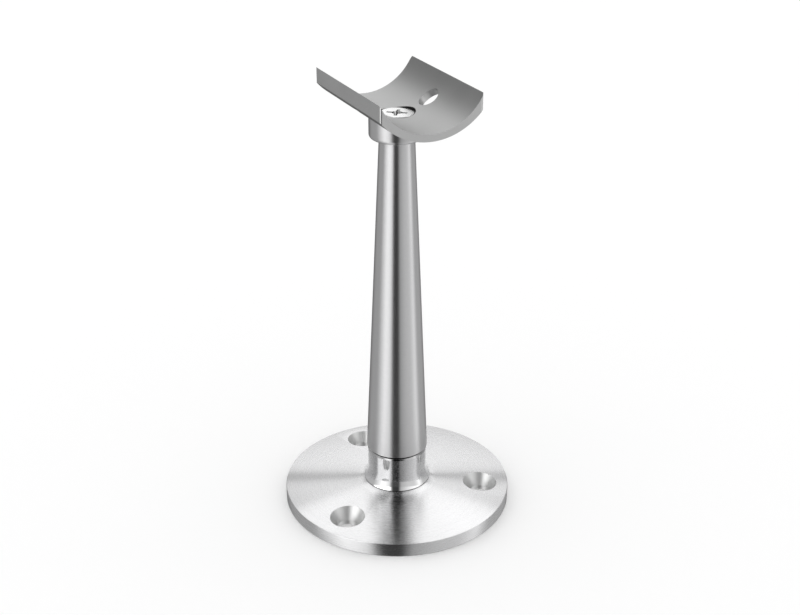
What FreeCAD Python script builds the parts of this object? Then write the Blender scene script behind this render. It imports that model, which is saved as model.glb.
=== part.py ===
import FreeCAD, Part
import math
import os

# Post-top handrail bracket in stainless steel: a turned base flange with a polished hub, a tapered
# stem, a contoured boss, and a trough-shaped saddle that a round rail lies in. A countersunk screw
# goes down through the saddle and the boss into the stem, and a socket screw comes up from under
# the flange. Units are millimetres. The origin is the centre of the flange's underside, +Z is up,
# +X runs along the rail and +Y across it.

# Base flange
flange_diameter = 80.0
rim_height = 5.0              # height of the flange at its edge
rim_chamfer = 0.4             # broken edge between the rim and the plate's face
base_chamfer = 0.3            # broken edge round the underside
plate_slope = 3.4             # degrees that the plate's face climbs towards the hub
foot_fillet = 8.0             # concave fillet between the plate and the hub
foot_fillet_end = 24.0        # slope in degrees where the fillet stops at the hub's foot

# Hub, turned in one piece with the flange
hub_height = 19.5             # seam between hub and stem, above the floor
neck_diameter = 20.8
hub_foot_diameter = 23.4      # where the polished flare meets the plate
hub_foot_step = 0.3           # small shoulder at the foot of the polished flare
hub_flare_radius = 10.0       # concave flare between the foot and the neck
hub_chamfer = 0.5

# Holes that hold the flange down
hole_count = 3
hole_circle_diameter = 60.2
hole_diameter = 7.4
hole_countersink_diameter = 12.1
hole_countersink_angle = 60.0

# Tapered stem
stem_bottom_diameter = 21.4
stem_top_diameter = 11.7
stem_bottom_rounding = 0.4
stem_top_chamfer = 0.3

# Register spigots that centre the stem on the hub and the boss on the stem
hub_spigot_diameter = 14.0
hub_spigot_height = 1.5
stem_spigot_diameter = 8.4
stem_spigot_height = 1.2
register_clearance = 0.1      # radial gap round both spigots
register_depth_clearance = 0.3

# Boss under the saddle
boss_diameter = 18.2
boss_height = 5.9             # from the stem to the underside of the saddle, on the axis
boss_rounding = 1.5           # at the boss's lower edge
boss_rounding_flats = 3       # straight flats that the rounding is turned from

# Saddle
rail_diameter = 38.0
rail_clearance = 0.2          # radial gap between rail and trough
trough_height = 142.0         # lowest line of the trough above the floor
saddle_length = 50.5          # along the rail
saddle_thickness = 2.2        # at the bottom of the trough
wing_thickening = 1.3         # how much more the underside's radius grows than the thickness
wing_angle = 64.2             # from the bottom of the trough to the tip of each wing, in degrees
saddle_corner_rounding = 0.8
wing_hole_diameter = 7.4
wing_hole_angle = 36.0        # from the bottom of the trough to each rail screw hole, in degrees

# Countersunk cross-recess screw, from the saddle into the stem
saddle_screw_diameter = 6.0
saddle_screw_length = 22.0
saddle_screw_head_diameter = 11.3
saddle_screw_head_edge = 0.5  # straight edge of the head above its cone
saddle_screw_rise = 0.15      # head above the trough's lowest line, within the rail's clearance
seat_angle = 90.0             # included angle of the head's cone and its seat
head_side_clearance = 0.35    # radial gap between the head and the straight wall of its seat
recess_span = 6.8             # cross recess, tip to tip across the head
recess_width = 1.1
recess_depth = 3.0
recess_bottom_span = 2.6
recess_core_diameter = 3.4
recess_turn = 54.0            # how the cross lies, in degrees from the rail

# Socket head screw, from under the flange into the stem
base_screw_diameter = 8.0
base_screw_length = 30.0
base_screw_head_diameter = 13.0
base_screw_head_height = 8.0
base_screw_sink = 0.8         # how far its head lies above the flange's underside
hex_socket_width = 6.0
hex_socket_depth = 4.0

# Shared fits
screw_hole_clearance = 0.3    # radial gap round a screw in a plain hole
thread_clearance = 0.03       # radial gap between a screw and the tapped hole that it is cut for
head_clearance = 0.5          # radial gap round the socket screw's head
thread_runout = 4.0           # tapped depth beyond the end of a screw
screw_point = 0.8             # chamfer at the end of each screw
cut_margin = 5.0              # how far a cutting tool reaches past the faces it opens

# Worked out from the sizes above
trough_radius = rail_diameter / 2 + rail_clearance
underside_radius = trough_radius + saddle_thickness + wing_thickening
trough_axis_z = trough_height + trough_radius
underside_z = trough_height - saddle_thickness
underside_axis_z = underside_z + underside_radius
saddle_half_width = trough_radius * math.sin(math.radians(wing_angle))
stem_top_z = underside_z - boss_height
saddle_screw_top_z = trough_height + saddle_screw_rise
base_screw_seat_z = base_screw_sink + base_screw_head_height

Z_AXIS = FreeCAD.Vector(0, 0, 1)
X_AXIS = FreeCAD.Vector(1, 0, 0)
CENTRE = FreeCAD.Vector(0, 0, 0)


def at(x, y, z):
    return FreeCAD.Vector(x, y, z)


def section_point(radius, height):
    """A point of a half section that is turned about the Z axis."""
    return at(radius, 0, height)


def straight(start, end):
    return Part.LineSegment(start, end).toShape()


def arc(start, middle, end):
    return Part.Arc(start, middle, end).toShape()


def turned(edges):
    """The solid turned about the Z axis from the closed half section that the edges bound."""
    face = Part.Face(Part.Wire(Part.__sortEdges__(edges)))
    return face.revolve(CENTRE, Z_AXIS, 360)


def turned_polygon(points):
    corners = [section_point(radius, height) for radius, height in points]
    return turned([straight(a, b) for a, b in zip(corners, corners[1:] + corners[:1])])


def cylinder(diameter, bottom, top):
    return Part.makeCylinder(diameter / 2, top - bottom, at(0, 0, bottom), Z_AXIS)


def plate_face_height(radius):
    """Height of the flange's sloping face at a radius outside the foot fillet."""
    slope = math.tan(math.radians(plate_slope))
    return rim_height + slope * (flange_diameter / 2 - rim_chamfer - radius)


def foot_fillet_edge():
    """The concave arc from the plate's face up to the hub's foot, as its three points."""
    first, last = math.radians(plate_slope), math.radians(foot_fillet_end)
    outer_radius = hub_foot_diameter / 2 + foot_fillet * (math.sin(last) - math.sin(first))
    centre_radius = outer_radius + foot_fillet * math.sin(first)
    centre_height = plate_face_height(outer_radius) + foot_fillet * math.cos(first)
    return [
        section_point(
            centre_radius - foot_fillet * math.sin(slope),
            centre_height - foot_fillet * math.cos(slope),
        )
        for slope in (first, (first + last) / 2, last)
    ]


def hub_flare_edge(foot_height):
    """The concave arc from the hub's foot to where it meets the straight neck."""
    neck_radius = neck_diameter / 2
    spread = hub_foot_diameter / 2 - neck_radius
    end = math.asin((hub_flare_radius - spread) / hub_flare_radius)
    centre_radius = neck_radius + hub_flare_radius
    centre_height = foot_height + hub_flare_radius * math.cos(end)
    return [
        section_point(
            centre_radius - hub_flare_radius * math.sin(slope),
            centre_height - hub_flare_radius * math.cos(slope),
        )
        for slope in (end, (end + math.pi / 2) / 2, math.pi / 2)
    ]


def flange_blank():
    """The flange and its hub as turned, before the three holes are drilled."""
    edge_radius = flange_diameter / 2
    bore_radius = base_screw_diameter / 2 + screw_hole_clearance
    counterbore_radius = base_screw_head_diameter / 2 + head_clearance
    spigot_radius = hub_spigot_diameter / 2
    spigot_top = hub_height + hub_spigot_height
    fillet_start, fillet_middle, fillet_end = foot_fillet_edge()
    flare_start, flare_middle, flare_end = hub_flare_edge(fillet_end.z + hub_foot_step)
    corners = [
        flare_end,
        section_point(neck_diameter / 2, hub_height - hub_chamfer),
        section_point(neck_diameter / 2 - hub_chamfer, hub_height),
        section_point(spigot_radius, hub_height),
        section_point(spigot_radius, spigot_top),
        section_point(bore_radius, spigot_top),
        section_point(bore_radius, base_screw_seat_z),
        section_point(counterbore_radius, base_screw_seat_z),
        section_point(counterbore_radius, 0),
        section_point(edge_radius - base_chamfer, 0),
        section_point(edge_radius, base_chamfer),
        section_point(edge_radius, rim_height - rim_chamfer),
        section_point(edge_radius - rim_chamfer, rim_height),
        fillet_start,
    ]
    edges = [straight(a, b) for a, b in zip(corners, corners[1:])]
    edges.append(arc(fillet_start, fillet_middle, fillet_end))
    edges.append(straight(fillet_end, flare_start))
    edges.append(arc(flare_start, flare_middle, flare_end))
    return turned(edges)


def flange_hole():
    """Cutting tool for one countersunk hole on the hole circle, on the +X side."""
    centre_radius = hole_circle_diameter / 2
    face_height = plate_face_height(centre_radius)
    flank = math.tan(math.radians(hole_countersink_angle / 2))
    bore_radius = hole_diameter / 2
    rim_radius = hole_countersink_diameter / 2
    cone_bottom = face_height - (rim_radius - bore_radius) / flank
    tool = turned_polygon([
        (0, -cut_margin),
        (bore_radius, -cut_margin),
        (bore_radius, cone_bottom),
        (rim_radius + cut_margin * flank, face_height + cut_margin),
        (0, face_height + cut_margin),
    ])
    tool.translate(at(centre_radius, 0, 0))
    return tool


def base_flange():
    """Flange and hub, with the holes spaced evenly and one of them under the rail's -X end."""
    solid = flange_blank()
    for number in range(hole_count):
        hole = flange_hole()
        hole.rotate(CENTRE, Z_AXIS, 180 + number * 360 / hole_count)
        solid = solid.cut(hole)
    return solid


def stem():
    """Straight taper from the hub to the boss, tapped at both ends."""
    bottom_radius = stem_bottom_diameter / 2
    top_radius = stem_top_diameter / 2
    taper = (bottom_radius - top_radius) / (stem_top_z - hub_height)
    lower_register_radius = hub_spigot_diameter / 2 + register_clearance
    lower_register_top = hub_height + hub_spigot_height + register_depth_clearance
    lower_thread_radius = base_screw_diameter / 2 + thread_clearance
    lower_thread_top = base_screw_seat_z + base_screw_length + thread_runout
    upper_thread_radius = saddle_screw_diameter / 2 + thread_clearance
    upper_thread_bottom = saddle_screw_top_z - saddle_screw_length - thread_runout
    body = turned_polygon([
        (0, hub_height),
        (bottom_radius - stem_bottom_rounding, hub_height),
        (bottom_radius, hub_height + stem_bottom_rounding),
        (top_radius + taper * stem_top_chamfer, stem_top_z - stem_top_chamfer),
        (top_radius - stem_top_chamfer, stem_top_z),
        (stem_spigot_diameter / 2, stem_top_z),
        (stem_spigot_diameter / 2, stem_top_z + stem_spigot_height),
        (0, stem_top_z + stem_spigot_height),
    ])
    register = cylinder(2 * lower_register_radius, hub_height - cut_margin, lower_register_top)
    lower_thread = cylinder(2 * lower_thread_radius, hub_height, lower_thread_top)
    upper_thread = cylinder(2 * upper_thread_radius, upper_thread_bottom, stem_top_z + cut_margin)
    return body.cut(register).cut(lower_thread).cut(upper_thread)


def saddle_underside(length):
    """The round bar whose surface is the saddle's underside, lying along the rail."""
    return Part.makeCylinder(underside_radius, length, at(-length / 2, 0, underside_axis_z), X_AXIS)


def screw_seat():
    """Cutting tool for the saddle screw: its hole, the cone under its head and a straight wall."""
    hole_radius = saddle_screw_diameter / 2 + screw_hole_clearance
    flank = math.tan(math.radians(seat_angle / 2))
    head_radius = saddle_screw_head_diameter / 2
    wall_radius = head_radius + head_side_clearance
    cone_top = saddle_screw_top_z - saddle_screw_head_edge
    return turned_polygon([
        (0, stem_top_z - cut_margin),
        (hole_radius, stem_top_z - cut_margin),
        (hole_radius, cone_top - (head_radius - hole_radius) / flank),
        (wall_radius, cone_top + head_side_clearance / flank),
        (wall_radius, trough_height + cut_margin),
        (0, trough_height + cut_margin),
    ])


def saddle_boss():
    """Round boss between stem and saddle: rounded below, hollowed above to the saddle's underside."""
    side_radius = boss_diameter / 2
    rounding = min(boss_rounding, boss_height / 2)
    slopes = [step * math.pi / 2 / boss_rounding_flats for step in range(boss_rounding_flats + 1)]
    lower_edge = [
        (
            side_radius - rounding * (1 - math.sin(slope)),
            stem_top_z + rounding * (1 - math.cos(slope)),
        )
        for slope in slopes
    ]
    upper_edge = [(side_radius, underside_axis_z), (0, underside_axis_z)]
    blank = turned_polygon([(0, stem_top_z)] + lower_edge + upper_edge)
    register_diameter = stem_spigot_diameter + 2 * register_clearance
    register_top = stem_top_z + stem_spigot_height + register_depth_clearance
    register = cylinder(register_diameter, stem_top_z - cut_margin, register_top)
    return blank.cut(saddle_underside(2 * boss_diameter)).cut(register).cut(screw_seat())


def saddle_section():
    """Cross-section of the saddle: two arcs joined by upright faces at the tips of the wings."""
    half = saddle_half_width
    inner_height = trough_axis_z - math.sqrt(trough_radius ** 2 - half ** 2)
    outer_height = underside_axis_z - math.sqrt(underside_radius ** 2 - half ** 2)
    inner_left, inner_right = at(0, -half, inner_height), at(0, half, inner_height)
    outer_left, outer_right = at(0, -half, outer_height), at(0, half, outer_height)
    return Part.Face(Part.Wire([
        arc(inner_left, at(0, 0, trough_height), inner_right),
        straight(inner_right, outer_right),
        arc(outer_right, at(0, 0, underside_z), outer_left),
        straight(outer_left, inner_left),
    ]))


def wing_hole(side):
    """Cutting tool for the rail screw hole through one wing, square to the trough's wall."""
    angle = math.radians(wing_hole_angle) * side
    outward = at(0, math.sin(angle), -math.cos(angle))
    start = at(0, 0, trough_axis_z) + outward * (trough_radius - cut_margin)
    return Part.makeCylinder(wing_hole_diameter / 2, underside_radius, start, outward)


def saddle_plate():
    section = saddle_section()
    section.translate(at(-saddle_length / 2, 0, 0))
    plate = section.extrude(X_AXIS * saddle_length)
    upright_corners = [
        edge for edge in plate.Edges
        if abs(edge.BoundBox.XLength) + abs(edge.BoundBox.YLength) < edge.BoundBox.ZLength / 100
    ]
    plate = plate.makeFillet(saddle_corner_rounding, upright_corners)
    for side in (-1, 1):
        plate = plate.cut(wing_hole(side))
    return plate.cut(screw_seat())


def recess_blade():
    """One of the two crossed blades of the saddle screw's recess, narrowing as it goes down."""
    top, bottom = saddle_screw_top_z + recess_depth, saddle_screw_top_z - recess_depth
    flare = (recess_span - recess_bottom_span) / 2
    outline = [
        at(-recess_bottom_span / 2, -recess_width / 2, bottom),
        at(recess_bottom_span / 2, -recess_width / 2, bottom),
        at(recess_span / 2 + flare, -recess_width / 2, top),
        at(-recess_span / 2 - flare, -recess_width / 2, top),
    ]
    return Part.Face(Part.makePolygon(outline + outline[:1])).extrude(at(0, recess_width, 0))


def cross_recess():
    """Cutting tool for the cross: two crossed blades round a tapered core."""
    core_bottom = saddle_screw_top_z - recess_depth
    core_radius = recess_core_diameter / 2
    core = turned_polygon([
        (0, core_bottom - recess_width / 2),
        (recess_width / 2, core_bottom),
        (core_radius, saddle_screw_top_z),
        (core_radius, saddle_screw_top_z + recess_depth),
        (0, saddle_screw_top_z + recess_depth),
    ])
    crossing = recess_blade()
    crossing.rotate(CENTRE, Z_AXIS, 90)
    tool = core.fuse([recess_blade(), crossing])
    tool.rotate(CENTRE, Z_AXIS, recess_turn)
    return tool


def saddle_screw():
    """Countersunk screw whose length counts from the top of its head."""
    flank = math.tan(math.radians(seat_angle / 2))
    head_radius = saddle_screw_head_diameter / 2
    shank_radius = saddle_screw_diameter / 2
    cone_top = saddle_screw_top_z - saddle_screw_head_edge
    end = saddle_screw_top_z - saddle_screw_length
    body = turned_polygon([
        (0, end),
        (shank_radius - screw_point, end),
        (shank_radius, end + screw_point),
        (shank_radius, cone_top - (head_radius - shank_radius) / flank),
        (head_radius, cone_top),
        (head_radius, saddle_screw_top_z),
        (0, saddle_screw_top_z),
    ])
    return body.cut(cross_recess())


def hexagon(width, bottom, top):
    """Upright hexagonal prism, measured across its flats."""
    corner_radius = width / 2 / math.cos(math.pi / 6)
    corners = [
        at(corner_radius * math.cos(turn), corner_radius * math.sin(turn), bottom)
        for turn in [corner * math.pi / 3 for corner in range(6)]
    ]
    return Part.Face(Part.makePolygon(corners + corners[:1])).extrude(Z_AXIS * (top - bottom))


def base_screw():
    """Socket head screw whose length counts from the seat under its head."""
    head_radius = base_screw_head_diameter / 2
    shank_radius = base_screw_diameter / 2
    end = base_screw_seat_z + base_screw_length
    body = turned_polygon([
        (0, base_screw_sink),
        (head_radius - screw_point, base_screw_sink),
        (head_radius, base_screw_sink + screw_point),
        (head_radius, base_screw_seat_z),
        (shank_radius, base_screw_seat_z),
        (shank_radius, end - screw_point),
        (shank_radius - screw_point, end),
        (0, end),
    ])
    socket = hexagon(hex_socket_width, base_screw_sink - cut_margin, base_screw_sink + hex_socket_depth)
    return body.cut(socket)


pieces = {
    "base_flange": base_flange(),
    "stem": stem(),
    "saddle_boss": saddle_boss(),
    "saddle_plate": saddle_plate(),
    "saddle_screw": saddle_screw(),
    "base_screw": base_screw(),
}

os.makedirs("parts", exist_ok=True)
for name, shape in pieces.items():
    print(name, "valid", shape.isValid(), "solids", len(shape.Solids), "volume", round(shape.Volume, 1))
    shape.exportStep("parts/" + name + ".step")
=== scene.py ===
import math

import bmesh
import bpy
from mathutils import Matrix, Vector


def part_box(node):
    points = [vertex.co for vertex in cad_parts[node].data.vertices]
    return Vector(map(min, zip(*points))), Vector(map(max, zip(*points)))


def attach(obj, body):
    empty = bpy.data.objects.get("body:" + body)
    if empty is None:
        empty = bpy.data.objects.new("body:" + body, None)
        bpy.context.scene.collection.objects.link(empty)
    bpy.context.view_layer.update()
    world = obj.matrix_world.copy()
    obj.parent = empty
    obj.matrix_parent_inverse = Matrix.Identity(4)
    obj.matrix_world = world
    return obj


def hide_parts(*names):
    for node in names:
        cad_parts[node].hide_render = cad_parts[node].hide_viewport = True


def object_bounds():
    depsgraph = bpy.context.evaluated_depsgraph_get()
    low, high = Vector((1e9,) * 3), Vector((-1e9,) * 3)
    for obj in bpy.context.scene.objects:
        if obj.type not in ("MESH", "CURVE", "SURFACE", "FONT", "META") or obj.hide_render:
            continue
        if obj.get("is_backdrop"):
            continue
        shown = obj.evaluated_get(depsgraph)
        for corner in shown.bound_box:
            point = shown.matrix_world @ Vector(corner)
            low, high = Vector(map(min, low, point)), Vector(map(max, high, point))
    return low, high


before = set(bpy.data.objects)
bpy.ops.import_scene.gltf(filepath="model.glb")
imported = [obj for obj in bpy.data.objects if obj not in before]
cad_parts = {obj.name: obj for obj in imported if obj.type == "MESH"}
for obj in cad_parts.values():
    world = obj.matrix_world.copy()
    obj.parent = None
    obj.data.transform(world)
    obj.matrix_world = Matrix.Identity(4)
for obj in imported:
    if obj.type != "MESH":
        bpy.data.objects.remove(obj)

# %% [markdown]
# # Post-top handrail bracket in stainless steel
# The bracket stands on a round flange that is screwed down through three countersunk holes. A
# tapered stem rises from the flange's polished hub and carries a small boss, and on the boss sits
# a trough-shaped saddle that a round rail lies in. One countersunk screw holds saddle, boss and
# stem together. Nothing on it moves.
#
# The packed model is the frame: every piece below is built in the same metres, round the same
# vertical axis, and takes its heights from the solid that it stands for.

low_at_load, high_at_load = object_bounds()

MM = 0.001


def in_mm(length):
    return round(length / MM, 2)


_, flange_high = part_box("base_flange")
stem_low, stem_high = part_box("stem")
boss_low, boss_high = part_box("saddle_boss")
saddle_low, saddle_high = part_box("saddle_plate")
screw_low, screw_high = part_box("saddle_screw")
_, socket_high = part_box("base_screw")

flange_radius = flange_high[0]
seam_height = stem_low[2]
boss_height = boss_low[2]
boss_radius = boss_high[0]
print("flange radius", in_mm(flange_radius), "mm, seam at", in_mm(seam_height), "mm")
print("boss from", in_mm(boss_height), "mm, saddle top at", in_mm(saddle_high[2]), "mm")
print("the hidden socket screw ends at", in_mm(socket_high[2]), "mm")

# %% [markdown]
# ## Turned shapes
# The flange, stem and boss come off a lathe, so each one is a half section turned about the
# vertical axis. The half section is drawn the way a lathe tool moves: a straight pass extrudes the
# last vertex to the next point, and a curved pass spins it about the centre of its radius. The
# spin operator then sweeps the line round the axis. A modifier could do the same sweep, but a mesh
# that is finished straight away can be cut and shaded like any other.

# %% Draw a half section and turn it
TURN_STEPS = 288
SEAM_MERGE = 0.002 * MM


def section_point(radius, height):
    return Vector((radius, 0, height))


def half_section(moves):
    """A wire from straight moves (radius, height) and curved moves (centre, degrees, steps)."""
    wire = bmesh.new()
    last = wire.verts.new(section_point(*moves[0]))
    for move in moves[1:]:
        if len(move) == 2:
            last = bmesh.ops.extrude_vert_indiv(wire, verts=[last])["verts"][0]
            last.co = section_point(*move)
        else:
            centre, degrees, steps = move
            swept = bmesh.ops.spin(
                wire, geom=[last], cent=section_point(*centre), axis=(0, 1, 0),
                angle=math.radians(degrees), steps=steps, use_duplicate=False,
            )
            last = [part for part in swept["geom_last"] if isinstance(part, bmesh.types.BMVert)][0]
    return wire


def close_section(wire):
    """Joins the two ends of a wire, for a ring that has a bore."""
    ends = [vertex for vertex in wire.verts if len(vertex.link_edges) == 1]
    bmesh.ops.contextual_create(wire, geom=ends)
    return wire


def turn(wire, steps=TURN_STEPS):
    """Sweeps the wire once round the vertical axis and closes seam and poles."""
    bmesh.ops.spin(
        wire, geom=wire.verts[:] + wire.edges[:], cent=(0, 0, 0), axis=(0, 0, 1),
        angle=2 * math.pi, steps=steps, use_merge=True, use_duplicate=False,
    )
    bmesh.ops.remove_doubles(wire, verts=wire.verts[:], dist=SEAM_MERGE)
    bmesh.ops.recalc_face_normals(wire, faces=wire.faces[:])
    return wire


def to_object(name, mesh_builder):
    mesh = bpy.data.meshes.new(name)
    mesh_builder.to_mesh(mesh)
    mesh_builder.free()
    piece = bpy.data.objects.new(name, mesh)
    bpy.context.scene.collection.objects.link(piece)
    return piece


print("one turn has", TURN_STEPS, "steps, so a flat on the rim is",
      in_mm(2 * math.pi * flange_radius / TURN_STEPS), "mm wide")

# %% [markdown]
# ## Holes, recesses and crisp edges
# Drilled holes and sunk recesses are cut with the shape of their tool, as in the workshop. The
# Boolean modifier does the cut and is baked into the mesh at once, so nothing live is left behind.
# Machined metal is smooth along its curves and crisp where two cuts meet: every face is shaded
# smooth, and an edge is marked sharp only where its faces meet at a clear angle.

# %% Cut with a tool, and shade machined metal
SHARP_DEGREES = 24.0
CUT_MERGE = 0.0005 * MM


def cut_with(piece, tool, operation="DIFFERENCE"):
    """Takes the tool's shape out of the piece, or keeps only what both share, and drops the tool."""
    cut = piece.modifiers.new("cut", "BOOLEAN")
    cut.operation = operation
    cut.solver = "EXACT"
    cut.object = tool
    bpy.context.view_layer.update()
    evaluated = piece.evaluated_get(bpy.context.evaluated_depsgraph_get())
    shaped = bpy.data.meshes.new_from_object(evaluated)
    piece.modifiers.remove(cut)
    before = piece.data
    piece.data = shaped
    shaped.name = before.name + "_cut"
    bpy.data.meshes.remove(before)
    bpy.data.objects.remove(tool)
    return piece


def shade_machined(piece):
    shape = bmesh.new()
    shape.from_mesh(piece.data)
    bmesh.ops.remove_doubles(shape, verts=shape.verts[:], dist=CUT_MERGE)
    for face in shape.faces:
        face.smooth = True
    for edge in shape.edges:
        edge.smooth = edge.is_manifold and edge.calc_face_angle(0.0) < math.radians(SHARP_DEGREES)
    shape.to_mesh(piece.data)
    open_edges = sum(not edge.is_manifold for edge in shape.edges)
    print(piece.name, "faces", len(shape.faces), "open edges", open_edges)
    shape.free()


def settle(piece, node):
    """The piece is shaded, stands for its CAD solid, which is hidden, and rides on the bracket."""
    shade_machined(piece)
    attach(piece, "root")
    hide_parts(node)


print("edges of more than", SHARP_DEGREES, "degrees stay crisp")

# %% [markdown]
# ## Base flange
# The flange is one turning: a flat underside, an upright brushed rim, a plate that climbs gently
# towards the middle, a soft fillet, and a hub with a mirror-polished hollow flare. A small crisp
# shoulder parts the polished flare from the brushed fillet, and a bright chamfer ends the neck.

# %% Turn the flange and its hub
RIM_HEIGHT = 5.0 * MM
RIM_CHAMFER = 0.4 * MM
RIM_CHAMFER_STEP = 0.12 * MM
BASE_CHAMFER = 0.3 * MM
PLATE_SLOPE = math.radians(3.4)
FILLET_RADIUS = 8.0 * MM
FILLET_END = math.radians(24)
FILLET_STEPS = 16
HUB_FOOT_RADIUS = 11.7 * MM
HUB_FOOT_STEP = 0.3 * MM
FLARE_RADIUS = 10.0 * MM
FLARE_STEPS = 24
NECK_RADIUS = 10.4 * MM
NECK_CHAMFER = 0.5 * MM
SPIGOT_RADIUS = 7.0 * MM
SCREW_BORE_RADIUS = 4.3 * MM
COUNTERBORE_RADIUS = 7.0 * MM
COUNTERBORE_TOP = 8.8 * MM

fillet_outer = HUB_FOOT_RADIUS + FILLET_RADIUS * (math.sin(FILLET_END) - math.sin(PLATE_SLOPE))
fillet_low = RIM_HEIGHT + math.tan(PLATE_SLOPE) * (flange_radius - RIM_CHAMFER - fillet_outer)
fillet_centre = (
    fillet_outer + FILLET_RADIUS * math.sin(PLATE_SLOPE),
    fillet_low + FILLET_RADIUS * math.cos(PLATE_SLOPE),
)
foot_height = fillet_centre[1] - FILLET_RADIUS * math.cos(FILLET_END) + HUB_FOOT_STEP
flare_start = math.asin((FLARE_RADIUS - HUB_FOOT_RADIUS + NECK_RADIUS) / FLARE_RADIUS)
flare_centre = (NECK_RADIUS + FLARE_RADIUS, foot_height + FLARE_RADIUS * math.cos(flare_start))

flange_section = half_section([
    (COUNTERBORE_RADIUS, 0),
    (flange_radius - BASE_CHAMFER, 0),
    (flange_radius, BASE_CHAMFER),
    (flange_radius, RIM_HEIGHT - RIM_CHAMFER),
    (flange_radius - RIM_CHAMFER_STEP, RIM_HEIGHT - RIM_CHAMFER_STEP),
    (flange_radius - RIM_CHAMFER, RIM_HEIGHT),
    (fillet_outer, fillet_low),
    (fillet_centre, math.degrees(FILLET_END - PLATE_SLOPE), FILLET_STEPS),
    (HUB_FOOT_RADIUS, foot_height),
    (flare_centre, 90 - math.degrees(flare_start), FLARE_STEPS),
    (NECK_RADIUS, seam_height - NECK_CHAMFER),
    (NECK_RADIUS - NECK_CHAMFER, seam_height),
    (SPIGOT_RADIUS, seam_height),
    (SPIGOT_RADIUS, flange_high[2]),
    (SCREW_BORE_RADIUS, flange_high[2]),
    (SCREW_BORE_RADIUS, COUNTERBORE_TOP),
    (COUNTERBORE_RADIUS, COUNTERBORE_TOP),
])
print("hub foot at", in_mm(foot_height), "mm, flare ends at", in_mm(flare_centre[1]), "mm")
base_flange = to_object("base_flange_turned", turn(close_section(flange_section)))

# %% [markdown]
# ## Countersunk holes in the flange
# Three screws hold the flange down, so three holes lie evenly on one circle. Each is a plain bore
# with a steep cone above it that takes the head of a countersunk screw. The same tool, drill and
# countersink in one, cuts each of them.

# %% Drill and countersink the three holes
HOLE_COUNT = 3
FIRST_HOLE_DEGREES = 180
HOLE_STEPS = 96
HOLE_CIRCLE_RADIUS = 30.1 * MM
HOLE_RADIUS = 3.7 * MM
COUNTERSINK_RADIUS = 6.05 * MM
COUNTERSINK_FLANK = math.tan(math.radians(30))
OVERRUN = 5.0 * MM

climb_to_holes = math.tan(PLATE_SLOPE) * (flange_radius - RIM_CHAMFER - HOLE_CIRCLE_RADIUS)
plate_height_at_holes = RIM_HEIGHT + climb_to_holes
cone_bottom = plate_height_at_holes - (COUNTERSINK_RADIUS - HOLE_RADIUS) / COUNTERSINK_FLANK


def hole_turn(number):
    """The turn about the vertical axis that brings a tool to one of the holes."""
    return Matrix.Rotation(math.radians(FIRST_HOLE_DEGREES + 360 / HOLE_COUNT * number), 4, "Z")


for number in range(HOLE_COUNT):
    tool = turn(half_section([
        (0, -OVERRUN),
        (HOLE_RADIUS, -OVERRUN),
        (HOLE_RADIUS, cone_bottom),
        (COUNTERSINK_RADIUS + OVERRUN * COUNTERSINK_FLANK, plate_height_at_holes + OVERRUN),
        (0, plate_height_at_holes + OVERRUN),
    ]), HOLE_STEPS)
    place = hole_turn(number) @ Matrix.Translation((HOLE_CIRCLE_RADIUS, 0, 0))
    bmesh.ops.transform(tool, matrix=place, verts=tool.verts[:])
    cut_with(base_flange, to_object("hole_tool", tool))
print("plate is", in_mm(plate_height_at_holes), "mm high at the holes")
print("cones end at", in_mm(cone_bottom), "mm")
settle(base_flange, "base_flange")

# %% [markdown]
# ## Stem
# The stem is a plain straight taper, brushed round and round on the lathe. It sits on the hub with
# a fine dark seam: the two only touch further in, so a thin shadow runs round the joint, and the
# groove's faces carry a painted shade that darkens it further.

# %% Turn the stem
STEM_FOOT_RADIUS = stem_high[0]
STEM_TOP_RADIUS = 5.85 * MM
STEM_SPIGOT_RADIUS = 4.2 * MM
SEAM_SEAT_RADIUS = 9.2 * MM
SEAM_GAP = 0.9 * MM
REGISTER_CLEARANCE = 0.1 * MM
REGISTER_DEPTH = 1.8 * MM
FOOT_BREAK = 0.15 * MM
TOP_CHAMFER = 0.3 * MM
TOP_CHAMFER_INSET = 0.25 * MM
TAPER_OVER_CHAMFER = 0.01 * MM
register_radius = SPIGOT_RADIUS + REGISTER_CLEARANCE
register_top = seam_height + REGISTER_DEPTH

stem_section = half_section([
    (0, register_top),
    (register_radius, register_top),
    (register_radius, seam_height),
    (SEAM_SEAT_RADIUS, seam_height),
    (SEAM_SEAT_RADIUS, seam_height + SEAM_GAP),
    (STEM_FOOT_RADIUS - FOOT_BREAK, seam_height + SEAM_GAP),
    (STEM_FOOT_RADIUS, seam_height + SEAM_GAP + FOOT_BREAK),
    (STEM_TOP_RADIUS + TAPER_OVER_CHAMFER, boss_height - TOP_CHAMFER),
    (STEM_TOP_RADIUS - TOP_CHAMFER_INSET, boss_height),
    (STEM_SPIGOT_RADIUS, boss_height),
    (STEM_SPIGOT_RADIUS, stem_high[2]),
    (0, stem_high[2]),
])
stem = to_object("stem_turned", turn(stem_section))
settle(stem, "stem")

# %% [markdown]
# ## Tools for boss and saddle
# A round bar of the underside's own size, laid along the rail, hollows the boss. One turned tool
# drills the saddle screw's hole, sinks its cone and clears the wall round its head. That second
# tool cuts both pieces, which keeps hole and seat in line.

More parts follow.
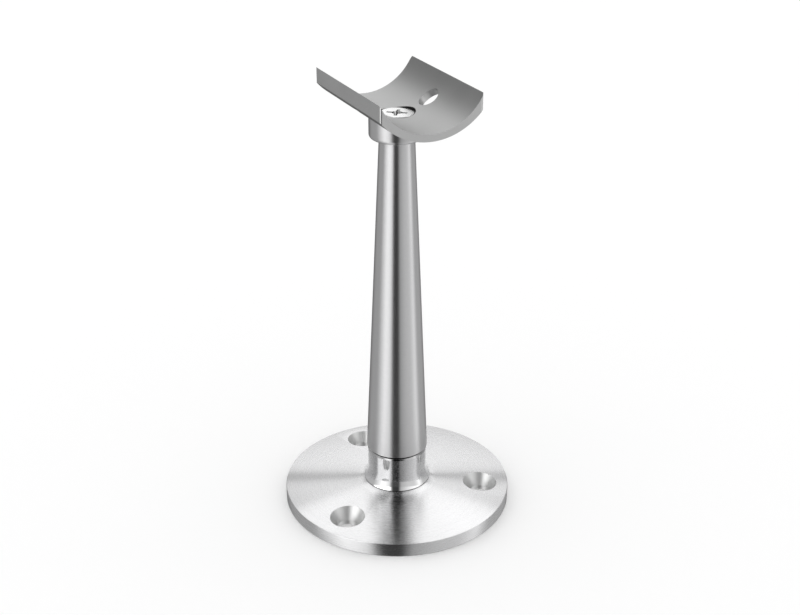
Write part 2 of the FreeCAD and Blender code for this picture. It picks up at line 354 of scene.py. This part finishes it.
# %% Make the tools for boss and saddle
SADDLE_THICKNESS = 2.2 * MM
TROUGH_RADIUS = 19.2 * MM
UNDERSIDE_EXTRA = 1.3 * MM  # the underside curves a little less than the trough
UNDERSIDE_RADIUS = TROUGH_RADIUS + SADDLE_THICKNESS + UNDERSIDE_EXTRA
TOOL_LENGTH = 60 * MM
BAR_STEPS = 360
SEAT_STEPS = 144
SEAT_HOLE_RADIUS = 3.3 * MM
SEAT_HEAD_RADIUS = 5.65 * MM
SEAT_WALL_GAP = 0.35 * MM
HEAD_EDGE = 0.5 * MM
underside_axis = saddle_low[2] + UNDERSIDE_RADIUS
trough_axis = saddle_low[2] + SADDLE_THICKNESS + TROUGH_RADIUS
half_length = saddle_high[0]


def rail_bar(radius, axis_height):
    """A round bar that lies along the rail."""
    bar = bmesh.new()
    bmesh.ops.create_cone(
        bar, cap_ends=True, segments=BAR_STEPS, radius1=radius, radius2=radius, depth=TOOL_LENGTH,
        matrix=Matrix.Translation((0, 0, axis_height)) @ Matrix.Rotation(math.pi / 2, 4, "Y"),
    )
    return bar


def screw_seat_tool():
    """Drill for the saddle screw's hole, cone for its head and a straight wall round the head."""
    wall_radius = SEAT_HEAD_RADIUS + SEAT_WALL_GAP
    cone_top = screw_high[2] - HEAD_EDGE
    return turn(half_section([
        (0, boss_height - OVERRUN),
        (SEAT_HOLE_RADIUS, boss_height - OVERRUN),
        (SEAT_HOLE_RADIUS, cone_top - (SEAT_HEAD_RADIUS - SEAT_HOLE_RADIUS)),
        (wall_radius, cone_top + SEAT_WALL_GAP),
        (wall_radius, cone_top + OVERRUN),
        (0, cone_top + OVERRUN),
    ]), SEAT_STEPS)


print("underside radius", in_mm(UNDERSIDE_RADIUS), "mm, trough radius", in_mm(TROUGH_RADIUS), "mm")

# %% [markdown]
# ## Saddle boss
# The boss is a short round block between stem and saddle. Its lower edge is well rounded, and its
# top is hollowed to the curve of the saddle's underside, so that the two meet without a gap. The
# hollow is cut with a round bar of the underside's own size, laid along the rail.

# %% Turn the boss and hollow its top
BOSS_ROUNDING = 1.5 * MM
BOSS_ROUNDING_STEPS = 10
boss_section = half_section([
    (0, boss_height),
    (boss_radius - BOSS_ROUNDING, boss_height),
    ((boss_radius - BOSS_ROUNDING, boss_height + BOSS_ROUNDING), -90, BOSS_ROUNDING_STEPS),
    (boss_radius, boss_high[2] + OVERRUN),
    (0, boss_high[2] + OVERRUN),
])
saddle_boss = to_object("saddle_boss_turned", turn(boss_section))
cut_with(saddle_boss, to_object("bar", rail_bar(UNDERSIDE_RADIUS, underside_axis)))
cut_with(saddle_boss, to_object("seat", screw_seat_tool()))
settle(saddle_boss, "saddle_boss")
print("boss hollowed to a radius of", in_mm(UNDERSIDE_RADIUS), "mm")

# %% [markdown]
# ## Saddle
# The saddle is a strip of thick plate, pressed to the curve of the rail. Its section is an arc for
# the trough and a slightly larger arc for the underside. It is made from one row of vertices: the
# row is swept round the trough's axis, bridged to a second row for the underside, and drawn out
# along the rail. It is made too large at first. An upright block with rounded edges then trims it,
# which leaves true side faces and four eased corners, as a trimming tool does in the press.

# %% Sweep the saddle's section, draw it out along the rail and trim it
SADDLE_STEPS = 96
CORNER_ROUNDING = 0.8 * MM
CORNER_STEPS = 8
TRIM_ALLOWANCE = 1.0 * MM
half_width = saddle_high[1]


def section_arc(shape, radius, axis_height):
    """A row of vertices across the rail, a little wider than the saddle."""
    reach = math.asin((half_width + TRIM_ALLOWANCE) / radius)
    first = Vector((0, -radius * math.sin(reach), axis_height - radius * math.cos(reach)))
    first.x = -half_length - TRIM_ALLOWANCE
    bmesh.ops.spin(
        shape, geom=[shape.verts.new(first)], cent=(first.x, 0, axis_height), axis=(1, 0, 0),
        angle=2 * reach, steps=SADDLE_STEPS, use_duplicate=False,
    )


def trimming_block():
    """An upright block of the saddle's own length and width, with rounded upright edges."""
    block = bmesh.new()
    bmesh.ops.create_cube(block, size=1.0)
    block_size = (2 * half_length, 2 * half_width, TOOL_LENGTH)
    bmesh.ops.scale(block, vec=block_size, verts=block.verts[:])
    bmesh.ops.translate(block, vec=(0, 0, trough_axis), verts=block.verts[:])
    upright = [edge for edge in block.edges if (edge.verts[0].co - edge.verts[1].co).xy.length == 0]
    bmesh.ops.bevel(
        block, geom=upright, offset=CORNER_ROUNDING, segments=CORNER_STEPS, profile=0.5, affect="EDGES",
        material=-1,
    )
    print("trimming block has", len(upright), "rounded edges")
    return block


saddle_shape = bmesh.new()
section_arc(saddle_shape, TROUGH_RADIUS, trough_axis)
section_arc(saddle_shape, UNDERSIDE_RADIUS, underside_axis)
bmesh.ops.bridge_loops(saddle_shape, edges=saddle_shape.edges[:])
drawn = bmesh.ops.extrude_face_region(saddle_shape, geom=saddle_shape.faces[:], use_keep_orig=True)
far_end = [part for part in drawn["geom"] if isinstance(part, bmesh.types.BMVert)]
bmesh.ops.translate(
    saddle_shape, verts=far_end, vec=(2 * (half_length + TRIM_ALLOWANCE), 0, 0),
)
bmesh.ops.recalc_face_normals(saddle_shape, faces=saddle_shape.faces[:])
saddle = to_object("saddle_pressed", saddle_shape)
cut_with(saddle, to_object("block", trimming_block()), "INTERSECT")
print("saddle is", in_mm(2 * half_length), "mm long and", in_mm(2 * half_width), "mm wide")

# %% [markdown]
# ## Holes in the saddle
# The middle hole is countersunk for the screw that holds the saddle. Each wing has one plain hole
# for a screw that goes into the rail. They are drilled square to the trough's wall.

# %% Drill the saddle
WING_HOLE_RADIUS = 3.7 * MM
WING_HOLE_ANGLE = math.radians(36)
DRILL_LENGTH = 12 * MM

cut_with(saddle, to_object("seat", screw_seat_tool()))
for side in (-1, 1):
    drill = bmesh.new()
    outward = Matrix.Rotation(side * WING_HOLE_ANGLE, 4, "X")
    to_wall = Matrix.Translation((0, 0, -TROUGH_RADIUS))
    place = Matrix.Translation((0, 0, trough_axis)) @ outward @ to_wall
    bmesh.ops.create_cone(
        drill, cap_ends=True, segments=HOLE_STEPS, radius1=WING_HOLE_RADIUS,
        radius2=WING_HOLE_RADIUS, depth=DRILL_LENGTH, matrix=place,
    )
    cut_with(saddle, to_object("drill", drill))
settle(saddle, "saddle_plate")

# %% [markdown]
# ## Saddle screw
# A countersunk machine screw with a cross recess. The head is turned, and the recess is cut with a
# punch: two crossed blades that narrow as they go down, round a tapered core. The recess lies a
# little askew to the rail, as a screw stops wherever it is tight.

# %% Turn the screw and punch its recess
HEAD_RADIUS = screw_high[0]
SHANK_RADIUS = 3.0 * MM
head_top = screw_high[2]
SHANK_POINT = 0.8 * MM
HEAD_BREAK = 0.15 * MM
RECESS_DEPTH = 3.0 * MM
RECESS_SPAN = 6.8 * MM
RECESS_BOTTOM_SPAN = 2.6 * MM
RECESS_TOP_SPAN = 11.0 * MM
RECESS_WIDTH = 1.1 * MM
CORE_RADIUS = 1.7 * MM
CORE_BOTTOM_RADIUS = 0.55 * MM
CORE_POINT = 0.5 * MM
CORE_STEPS = 48
RECESS_TURN = math.radians(54)

screw_section = half_section([
    (0, screw_low[2]),
    (SHANK_RADIUS - SHANK_POINT, screw_low[2]),
    (SHANK_RADIUS, screw_low[2] + SHANK_POINT),
    (SHANK_RADIUS, head_top - HEAD_EDGE - (HEAD_RADIUS - SHANK_RADIUS)),
    (HEAD_RADIUS, head_top - HEAD_EDGE),
    (HEAD_RADIUS, head_top - HEAD_BREAK),
    (HEAD_RADIUS - HEAD_BREAK, head_top),
    (0, head_top),
])
saddle_screw = to_object("saddle_screw_turned", turn(screw_section, SEAT_STEPS))


def recess_blade(quarter_turns):
    """One blade of the punch: a cube tapered towards its lower end."""
    blade = bmesh.new()
    bmesh.ops.create_cube(blade, size=1.0)
    bmesh.ops.scale(blade, vec=(RECESS_SPAN, RECESS_WIDTH, 2 * RECESS_DEPTH), verts=blade.verts[:])
    for corner in blade.verts:
        span = RECESS_BOTTOM_SPAN if corner.co.z < 0 else RECESS_TOP_SPAN
        corner.co.x *= span / RECESS_SPAN
    bmesh.ops.translate(blade, vec=(0, 0, head_top), verts=blade.verts[:])
    askew = Matrix.Rotation(RECESS_TURN + quarter_turns * math.pi / 2, 3, "Z")
    bmesh.ops.rotate(blade, cent=(0, 0, 0), matrix=askew, verts=blade.verts[:])
    return blade


for quarter_turns in (0, 1):
    cut_with(saddle_screw, to_object("blade", recess_blade(quarter_turns)))
core = turn(half_section([
    (0, head_top - RECESS_DEPTH - CORE_POINT),
    (CORE_BOTTOM_RADIUS, head_top - RECESS_DEPTH),
    (CORE_RADIUS, head_top),
    (CORE_RADIUS, head_top + RECESS_DEPTH),
    (0, head_top + RECESS_DEPTH),
]), CORE_STEPS)
cut_with(saddle_screw, to_object("core", core))
settle(saddle_screw, "saddle_screw")

# %% [markdown]
# ## Shader maths
# A finish is a small recipe: where on the surface am I, which fine line of the brush is that, and
# how bright or rough is the metal there. The recipe reads better as maths than as a web of nodes,
# so a value is wrapped, and each operator on it adds one Math node.

# %% Wrap a socket so that maths on it adds nodes
class Value:
    """One output of a node tree. Operators on it add Math nodes."""

    def __init__(self, tree, socket):
        self.tree = tree
        self.socket = socket

    def node(self, kind, settings=None, inputs=None, output=0):
        """Adds any node: its type, its settings, then the values or links of its sockets."""
        made = self.tree.nodes.new(kind)
        for name, setting in (settings or {}).items():
            if name == "stops":
                ramp = made.color_ramp
                while len(ramp.elements) < len(setting):
                    ramp.elements.new(0.5)
                for element, (position, level) in zip(ramp.elements, setting):
                    element.position = position
                    element.color = (level, level, level, 1)
            else:
                setattr(made, name, setting)
        for name, given in (inputs or {}).items():
            if isinstance(given, Value):
                self.tree.links.new(given.socket, made.inputs[name])
            else:
                made.inputs[name].default_value = given
        return Value(self.tree, made.outputs[output])

    def math(self, operation, first, second=0.0):
        return self.node("ShaderNodeMath", {"operation": operation}, {0: first, 1: second})

    def __add__(self, other):
        return self.math("ADD", self, other)

    __radd__ = __add__

    def __mul__(self, other):
        return self.math("MULTIPLY", self, other)

    __rmul__ = __mul__

    def __sub__(self, other):
        return self.math("SUBTRACT", self, other)

    def __rsub__(self, other):
        return self.math("SUBTRACT", other, self)

    def __truediv__(self, other):
        return self.math("DIVIDE", self, other)

    def __rtruediv__(self, other):
        return self.math("DIVIDE", other, self)

    def band(self, start, full):
        """0 before start and 1 after full, with a smooth change between them."""
        inputs = {"Value": self, "From Min": start, "From Max": full, "To Min": 0.0, "To Max": 1.0}
        return self.node("ShaderNodeMapRange", {"interpolation_type": "SMOOTHSTEP"}, inputs)


OBJECT_COORDINATES = 3  # which output of the Texture Coordinate node
DOT_PRODUCT = 1  # which output of the Vector Math node
print("a value has", sum(callable(member) for member in vars(Value).values()), "methods")

# %% [markdown]
# ## Starting a material
# Every finish starts from the same place, a new material with one Principled shader. A helper
# hands back the material, its node tree and that shader, and each finish then sets its own.

# %% Start a material
def new_material(name):
    """A new material, its node tree and its Principled shader."""
    material = bpy.data.materials.new(name)
    material.use_nodes = True
    tree = material.node_tree
    shader = tree.nodes["Principled BSDF"]
    return material, tree, shader


print("materials so far:", len(bpy.data.materials))

# %% [markdown]
# ## Turned and brushed steel
# A lathe or a brush held against a turning piece leaves fine rings. They do two things to light.
# Seen from afar, they smear every reflection across the rings, which gives the plate its fan of
# light and dark and the stem its long upright streaks: the anisotropic lobe does that, and with no
# tangent given it already runs round the vertical axis. Seen close, single rings differ a little
# in brightness and depth. A noise that is stretched along the ring gives those, and it drives the
# base colour, the roughness and a very low bump.

# %% Make the turned finishes
def ring_noise(start, across, along, detail):
    """Noise that runs in rings: fine across them and long along them, in steps per metre."""
    place = start.node("ShaderNodeTexCoord", output=OBJECT_COORDINATES)
    split = start.node("ShaderNodeSeparateXYZ", {}, {0: place})
    x, y, z = (Value(start.tree, split.socket.node.outputs[axis]) for axis in range(3))
    radius = start.math("SQRT", x * x + y * y)
    reach = (radius - z) * across
    turned = start.node(
        "ShaderNodeCombineXYZ", {},
        {0: x / radius * along, 1: y / radius * along, 2: reach},
    )
    return start.node(
        "ShaderNodeTexNoise", {"noise_dimensions": "3D"},
        {"Vector": turned, "Scale": 1.0, "Detail": detail, "Roughness": 0.6},
    )


NOISE_MIDDLE = 0.5
ROUGHNESS_SWING = 0.06
BROAD_SHARE = 0.6
BLUE_TINT = 1.008
QUARTER_TURN = 0.25


def turned_steel(name, tone, roughness, anisotropy, ring_contrast, ring_depth):
    material, tree, shader = new_material(name)
    start = Value(tree, None)
    rings = ring_noise(start, across=6000.0, along=9.0, detail=2.0)
    broad = ring_noise(start, across=900.0, along=3.0, detail=2.0)
    shade = (rings - NOISE_MIDDLE) * ring_contrast + (broad - NOISE_MIDDLE) * (BROAD_SHARE * ring_contrast)
    level = shade + tone
    colour = start.node("ShaderNodeCombineColor", {}, {0: level, 1: level, 2: level * BLUE_TINT})
    tree.links.new(colour.socket, shader.inputs["Base Color"])
    rough = (broad - NOISE_MIDDLE) * ROUGHNESS_SWING + (rings - NOISE_MIDDLE) * ROUGHNESS_SWING + roughness
    tree.links.new(rough.socket, shader.inputs["Roughness"])
    relief = start.node(
        "ShaderNodeBump", {}, {"Height": rings, "Strength": 1.0, "Distance": ring_depth},
    )
    tree.links.new(relief.socket, shader.inputs["Normal"])
    shader.inputs["Metallic"].default_value = 1.0
    shader.inputs["Anisotropic"].default_value = anisotropy
    shader.inputs["Anisotropic Rotation"].default_value = QUARTER_TURN
    print(name, "tone", tone, "roughness", roughness)
    return material


turned_stainless = turned_steel(
    "turned_stainless", tone=0.64, roughness=0.27, anisotropy=1.0, ring_contrast=0.02,
    ring_depth=0.00005 * MM,
)
brushed_stainless = turned_steel(
    "brushed_stainless", tone=0.60, roughness=0.30, anisotropy=0.92, ring_contrast=0.06,
    ring_depth=0.0002 * MM,
)
polished_stainless = turned_steel(
    "polished_stainless", tone=0.80, roughness=0.08, anisotropy=0.0, ring_contrast=0.02,
    ring_depth=0.00002 * MM,
)

# %% [markdown]
# ## Satin steel of the saddle, and the plain finishes
# The saddle is pressed from satin plate. It is nearly matt: a fine even grain without a clear
# direction, with a faint drift in tone where the plate was rubbed down. The same recipe with other
# numbers gives the finishes that a tool leaves: brighter where the plate was cut, bright on its
# eased corners, paler in the drilled holes and bright on the screws. It also gives a nearly black
# painted shade for the joints, where hardly any light gets in.

# %% Make the satin and the plain finishes
GRAIN_SCALE = 3500.0
GRAIN_ROUGHNESS = 0.08
GRAIN_DEPTH = 0.004 * MM
DRIFT_SCALE = 90.0
DRIFT_SHARE = 0.5
DRIFT_ROUGHNESS = 0.12
GREEN_TINT = 1.003


def satin_steel(name, tone, roughness, grain):
    material, tree, shader = new_material(name)
    start = Value(tree, None)
    place = start.node("ShaderNodeTexCoord", output=OBJECT_COORDINATES)
    fine = start.node(
        "ShaderNodeTexNoise", {},
        {"Vector": place, "Scale": GRAIN_SCALE, "Detail": 3.0, "Roughness": 0.6},
    )
    drift = start.node(
        "ShaderNodeTexNoise", {},
        {"Vector": place, "Scale": DRIFT_SCALE, "Detail": 2.0, "Roughness": 0.5},
    )
    level = (fine - NOISE_MIDDLE) * grain + (drift - NOISE_MIDDLE) * (DRIFT_SHARE * grain) + tone
    colour = start.node("ShaderNodeCombineColor", {}, {0: level, 1: level * GREEN_TINT, 2: level})
    tree.links.new(colour.socket, shader.inputs["Base Color"])
    swing = (drift - NOISE_MIDDLE) * DRIFT_ROUGHNESS + (fine - NOISE_MIDDLE) * GRAIN_ROUGHNESS
    rough = swing + roughness
    tree.links.new(rough.socket, shader.inputs["Roughness"])
    relief = start.node(
        "ShaderNodeBump", {}, {"Height": fine, "Strength": 1.0, "Distance": GRAIN_DEPTH},
    )
    tree.links.new(relief.socket, shader.inputs["Normal"])
    shader.inputs["Metallic"].default_value = 1.0
    print(name, "tone", tone, "roughness", roughness)
    return material


satin_stainless = satin_steel("satin_stainless", tone=0.35, roughness=0.46, grain=0.06)
cut_stainless = satin_steel("cut_stainless", tone=0.58, roughness=0.40, grain=0.08)
eased_stainless = satin_steel("eased_stainless", tone=0.62, roughness=0.20, grain=0.04)
drilled_stainless = satin_steel("drilled_stainless", tone=0.70, roughness=0.44, grain=0.06)
# painted shade: a nearly black colour for faces in joints, grooves and seats, standing in for the shadow
# there
joint_painted_shade = satin_steel("joint_painted_shade", tone=0.05, roughness=0.60, grain=0.02)
screw_stainless = satin_steel("screw_stainless", tone=0.61, roughness=0.26, grain=0.08)

# %% [markdown]
# ## Finishes on the flange
# The flange carries four materials on one piece. Plate and rim are turned, the hub's hollow flare
# and neck are polished, and the three holes are drilled. The foot shoulder and the hub's top in the
# joint are painted nearly black, a painted shade. Faces are told apart by where they lie and which
# way they look, so no selection has to be kept by hand.

# %% Finish the flange
TURNED, POLISHED, DRILLED, FLANGE_PAINTED_SHADE = range(4)
HUB_TOLERANCE = 0.01 * MM
SEAM_TOLERANCE = 0.05 * MM
EDGE_TOLERANCE = 0.1 * MM
# a face is told by how far its outward direction points up or along an axis, from 0 to 1
UPRIGHT = 0.1
SLOPING = 0.8
hole_axes = [hole_turn(number) @ Vector((HOLE_CIRCLE_RADIUS, 0, 0)) for number in range(HOLE_COUNT)]


def give(piece, *finishes):
    """Puts the finishes into the piece's material slots, in order."""
    for finish in finishes:
        piece.data.materials.append(finish)


def flange_finish(face):
    centre = face.center
    radius = math.hypot(centre.x, centre.y)
    from_hole = min((centre.xy - axis.xy).length for axis in hole_axes)
    on_hub = NECK_RADIUS - NECK_CHAMFER < radius < HUB_FOOT_RADIUS + HUB_TOLERANCE
    if from_hole < COUNTERSINK_RADIUS + EDGE_TOLERANCE and abs(face.normal.z) < SLOPING:
        return DRILLED
    # painted shade: the hub's top inside the stem's groove and the upright foot shoulder are painted
    # nearly black
    if radius > SPIGOT_RADIUS and centre.z > seam_height - SEAM_TOLERANCE:
        return FLANGE_PAINTED_SHADE
    if on_hub and abs(face.normal.z) < UPRIGHT and centre.z < foot_height:
        return FLANGE_PAINTED_SHADE
    if on_hub and centre.z > foot_height - HUB_FOOT_STEP:
        return POLISHED
    return TURNED


give(base_flange, turned_stainless, polished_stainless, drilled_stainless, joint_painted_shade)
for face in base_flange.data.polygons:
    face.material_index = flange_finish(face)
polished_faces = sum(face.material_index == POLISHED for face in base_flange.data.polygons)
print("polished faces", polished_faces)

# %% [markdown]
# ## Finishes on stem and boss
# Stem and boss are brushed alike. The groove under the stem is painted nearly black, a painted
# shade, as light hardly reaches it.

# %% Finish the stem and the boss
GROOVE_REACH = 1.01 * SEAM_GAP


def in_groove(face):
    radius = math.hypot(face.center.x, face.center.y)
    low = face.center.z < seam_height + GROOVE_REACH
    return low and radius < STEM_FOOT_RADIUS - EDGE_TOLERANCE


give(stem, brushed_stainless, joint_painted_shade)
# painted shade: the faces in the groove are painted nearly black
for face in stem.data.polygons:
    face.material_index = int(in_groove(face))
give(saddle_boss, brushed_stainless)
print("groove faces", sum(face.material_index for face in stem.data.polygons))

# %% [markdown]
# ## Finishes on the saddle
# The trough and the underside are satin. The ends, the side faces and the wing holes are cut, the
# four eased corners are bright, and the seat round the screw's head is painted dark, a painted shade.

# %% Finish the saddle
SATIN, CUT, SEAT_PAINTED_SHADE, EASED = range(4)
EDGE_ZONE = 0.85 * MM
SEAT_REACH = 6.2 * MM
SMALL_FACE = 3 * MM
FACING_SIDEWAYS = 0.95
CORNER_LEAN = 0.12


def saddle_finish(face):
    corners = [saddle.data.vertices[number].co for number in face.vertices]
    at_end = abs(face.center.x) > half_length - EDGE_ZONE and abs(face.normal.z) < UPRIGHT
    at_side = abs(face.center.y) > half_width - EDGE_ZONE and abs(face.normal.y) > FACING_SIDEWAYS
    in_wing_hole = max((corner - face.center).length for corner in corners) < SMALL_FACE
    at_corner = at_end and min(abs(face.normal.x), abs(face.normal.y)) > CORNER_LEAN
    # painted shade: the seat round the screw's head is painted nearly black
    if max(math.hypot(corner.x, corner.y) for corner in corners) < SEAT_REACH:
        return SEAT_PAINTED_SHADE
    if at_corner:
        return EASED
    if at_end or at_side or in_wing_hole:
        return CUT
    return SATIN


give(saddle, satin_stainless, cut_stainless, joint_painted_shade, eased_stainless)
for face in saddle.data.polygons:
    face.material_index = saddle_finish(face)
print("eased faces", sum(face.material_index == EASED for face in saddle.data.polygons))

# %% [markdown]
# ## Finishes on the screws
# The saddle screw is bright, but the upright edge of its head is painted nearly black, a painted
# shade for where it stands in its seat. The hidden socket screw stays the packed solid and only takes the
# screw's finish.

# %% Finish the screws
MOSTLY_UPRIGHT = 0.5


def in_painted_seat_shade(face):
    radius = math.hypot(face.center.x, face.center.y)
    return abs(face.normal.z) < MOSTLY_UPRIGHT and radius > HEAD_RADIUS - EDGE_TOLERANCE


give(saddle_screw, screw_stainless, joint_painted_shade)
# painted shade: the head's upright edge is painted nearly black
for face in saddle_screw.data.polygons:
    face.material_index = int(in_painted_seat_shade(face))
socket_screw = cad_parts["base_screw"]
for slot in socket_screw.material_slots:
    slot.material = screw_stainless
print("shaded faces on the screw", sum(face.material_index for face in saddle_screw.data.polygons))

# %% [markdown]
# ## Floor and sky
# The bracket stands on a pale matt floor under an even white sky, which lights it plainly and
# leaves one soft shadow round its foot.

# %% Lay the floor under an even sky
VIEW_AZIMUTH = math.radians(64.82)
VIEW_ELEVATION = math.radians(25.31)
FLOOR_RADIUS = 20.0
FLOOR_TONE = 0.96
FLOOR_ROUGHNESS = 0.9
FLOOR_STEPS = 128
SKY_STRENGTH = 1.05
towards_camera = Vector((math.sin(VIEW_AZIMUTH), -math.cos(VIEW_AZIMUTH), 0))
to_the_right = Vector((math.cos(VIEW_AZIMUTH), math.sin(VIEW_AZIMUTH), 0))

floor_shape = bmesh.new()
bmesh.ops.create_circle(floor_shape, cap_ends=True, segments=FLOOR_STEPS, radius=FLOOR_RADIUS)
floor = to_object("floor", floor_shape)
floor_material, _, floor_shader = new_material("floor_pale")
floor_shader.inputs["Base Color"].default_value = (FLOOR_TONE, FLOOR_TONE, FLOOR_TONE, 1)
floor_shader.inputs["Roughness"].default_value = FLOOR_ROUGHNESS
floor_shader.inputs["Specular IOR Level"].default_value = 0.0
floor.data.materials.append(floor_material)
floor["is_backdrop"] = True

sky = bpy.data.worlds.new("even_sky")
bpy.context.scene.world = sky
sky.use_nodes = True
sky.node_tree.nodes["Background"].inputs["Color"].default_value = (1, 1, 1, 1)
sky.node_tree.nodes["Background"].inputs["Strength"].default_value = SKY_STRENGTH
print("floor", 2 * FLOOR_RADIUS, "m wide, sky strength", SKY_STRENGTH)

# %% [markdown]
# ## Light tent
# Brushed metal shows its surroundings more than itself. Round the bracket stands a light tent that
# only reflections see. It has three heights of cloth, because each kind of face mirrors another
# one: stem, rim and saddle sides mirror the low cloth, the hub's flare the middle, and the plate
# the high one. A dark slit in front and overhead gives the plate its front band, and a dark hoop
# behind gives it two thin side bands. Lamps of many sizes could do the same, but one glowing
# sphere holds every cloth in one table for each height.

# %% Cut the cloth for the tent
TENT_RADIUS = 2.0
BRIGHTEST_CLOTH = 3.0
# each stop is a bearing, in degrees to the right of the camera, and the brightness there
LOW_CLOTH = [
    (-180, 0.10), (-150, 0.16), (-138, 0.38), (-122, 0.50), (-86, 0.52), (-74, 0.78), (-52, 1.40),
    (-40, 1.25), (-27, 0.95), (-19, 0.22), (-13, 0.07), (5, 0.07), (10, 0.25), (15, 0.48),
    (20, 0.55), (40, 0.72), (62, 0.76), (72, 0.95), (82, 1.30), (92, 0.90), (99, 0.60),
    (130, 0.56), (144, 0.40), (156, 0.18), (180, 0.10),
]
MIDDLE_CLOTH = [
    (-180, 1.55), (-158, 1.55), (-146, 0.55), (-130, 0.33), (-104, 0.32), (-86, 0.40), (-77, 2.40),
    (-32, 2.60), (-24, 1.60), (-17, 0.22), (-13, 0.05), (5, 0.04), (9, 0.25), (14, 0.55),
    (20, 0.65), (40, 1.00), (78, 1.50), (88, 0.50), (110, 0.25), (140, 0.40), (156, 1.55),
    (180, 1.55),
]
HIGH_CLOTH = [
    (-180, 1.75), (-146, 1.75), (-126, 1.35), (-104, 0.60), (-84, 0.45), (-68, 0.35), (-54, 0.90),
    (-42, 1.20), (-32, 0.90), (-24, 0.10), (-10, 0.05), (26, 0.05), (36, 0.25), (48, 0.50),
    (70, 0.60), (90, 0.90), (122, 1.60), (146, 1.80), (180, 1.75),
]
print("tent cloth has", len(LOW_CLOTH), len(MIDDLE_CLOTH), "and", len(HIGH_CLOTH), "stops")

# %% Put up the light tent
LOW_CLOTH_TOP = (8, 12)
MIDDLE_CLOTH_TOP = (38, 42)
SLIT_LEFT, SLIT_RIGHT, SLIT_FRONT = (-0.20, -0.14), (0.10, 0.16), (-0.1, 0.1)
SLIT_DARKNESS = 0.9
HOOP_PLACE = 0.838
HOOP_EDGE, HOOP_START = (0.032, 0.012), (-0.02, 0.02)
HOOP_DARKNESS = 0.65

tent_shape = bmesh.new()
bmesh.ops.create_uvsphere(tent_shape, u_segments=96, v_segments=48, radius=TENT_RADIUS)
tent = to_object("light_tent", tent_shape)
tent_material = bpy.data.materials.new("tent_cloth")
tent_material.use_nodes = True
cloth = tent_material.node_tree
cloth.nodes.remove(cloth.nodes["Principled BSDF"])
start = Value(cloth, None)
place = start.node("ShaderNodeTexCoord", output=OBJECT_COORDINATES)


def along(axis):
    """How far a point of the tent lies along an axis, from -1 to 1."""
    inputs = {0: place, 1: tuple(Vector(axis) / TENT_RADIUS)}
    return start.node("ShaderNodeVectorMath", {"operation": "DOT_PRODUCT"}, inputs, output=DOT_PRODUCT)


sideways, forwards, upwards = along(to_the_right), along(towards_camera), along((0, 0, 1))
bearing = start.math("ARCTAN2", sideways, forwards) * (180 / math.pi)


def cloth_brightness(levels):
    """The glow of one height of cloth, read from its table by bearing."""
    stops = [(degrees / 360 + 0.5, level / BRIGHTEST_CLOTH) for degrees, level in levels]
    position = bearing / 360 + 0.5
    return start.node("ShaderNodeValToRGB", {"stops": stops}, {0: position}) * BRIGHTEST_CLOTH


def above(degrees):
    """0 below the first elevation and 1 above the second."""
    return upwards.band(*(math.sin(math.radians(elevation)) for elevation in degrees))


above_low = above(LOW_CLOTH_TOP)
above_middle = above(MIDDLE_CLOTH_TOP)
slit = sideways.band(*SLIT_LEFT) * (1 - sideways.band(*SLIT_RIGHT)) * forwards.band(*SLIT_FRONT)
high_cloth = cloth_brightness(HIGH_CLOTH) * (1 - slit * SLIT_DARKNESS)
lower_cloth = (
    cloth_brightness(MIDDLE_CLOTH) * above_low + cloth_brightness(LOW_CLOTH) * (1 - above_low)
)
hoop = start.math("ABSOLUTE", forwards + HOOP_PLACE).band(*HOOP_EDGE)
glow = high_cloth * above_middle + lower_cloth * (1 - above_middle)
glow = glow * (1 - hoop * upwards.band(*HOOP_START) * HOOP_DARKNESS)
lamp = start.node("ShaderNodeEmission", {}, {"Color": glow, "Strength": 1.0})
cloth.links.new(lamp.socket, cloth.nodes["Material Output"].inputs["Surface"])
tent.data.materials.append(tent_material)
for kind_of_ray in ("camera", "diffuse", "transmission", "volume_scatter", "shadow"):
    setattr(tent, "visible_" + kind_of_ray, False)
floor.visible_glossy = False
tent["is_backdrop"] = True
print("tent stands", TENT_RADIUS, "m round the bracket")

# %% [markdown]
# ## Camera
# A long lens from a little above shows the plate's top and the inside of the trough at once.

# %% Set the camera
AIM_HEIGHT = 73.8 * MM
CAMERA_DISTANCE = 430.0 * MM
SENSOR_WIDTH = 36.0
FOCAL_LENGTH = 56.9376
SIDE_SHIFT = 0.0038125
NEAREST, FURTHEST = 0.01, 50.0
camera = bpy.data.objects.new("camera", bpy.data.cameras.new("camera"))
bpy.context.scene.collection.objects.link(camera)
aim = Vector((0, 0, AIM_HEIGHT))
sight = towards_camera * math.cos(VIEW_ELEVATION) + Vector((0, 0, math.sin(VIEW_ELEVATION)))
camera.location = aim + sight * CAMERA_DISTANCE
camera.rotation_euler = (-sight).to_track_quat("-Z", "Y").to_euler()
camera.data.sensor_width = SENSOR_WIDTH
camera.data.lens = FOCAL_LENGTH
camera.data.shift_x = SIDE_SHIFT
camera.data.clip_start = NEAREST
camera.data.clip_end = FURTHEST
bpy.context.scene.camera = camera
camera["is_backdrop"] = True

bpy.context.scene.view_settings.view_transform = "Standard"
print("camera stands", in_mm(camera.location.length), "mm from the flange's underside")

# %% [markdown]
# ## Size
# The height of the finished bracket is printed beside the height of the packed model, so that the
# two can be compared.

# %% Write the size of what was built
low_at_end, high_at_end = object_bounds()
print("finished height", in_mm(high_at_end[2]), "mm, packed height", in_mm(high_at_load[2]), "mm")
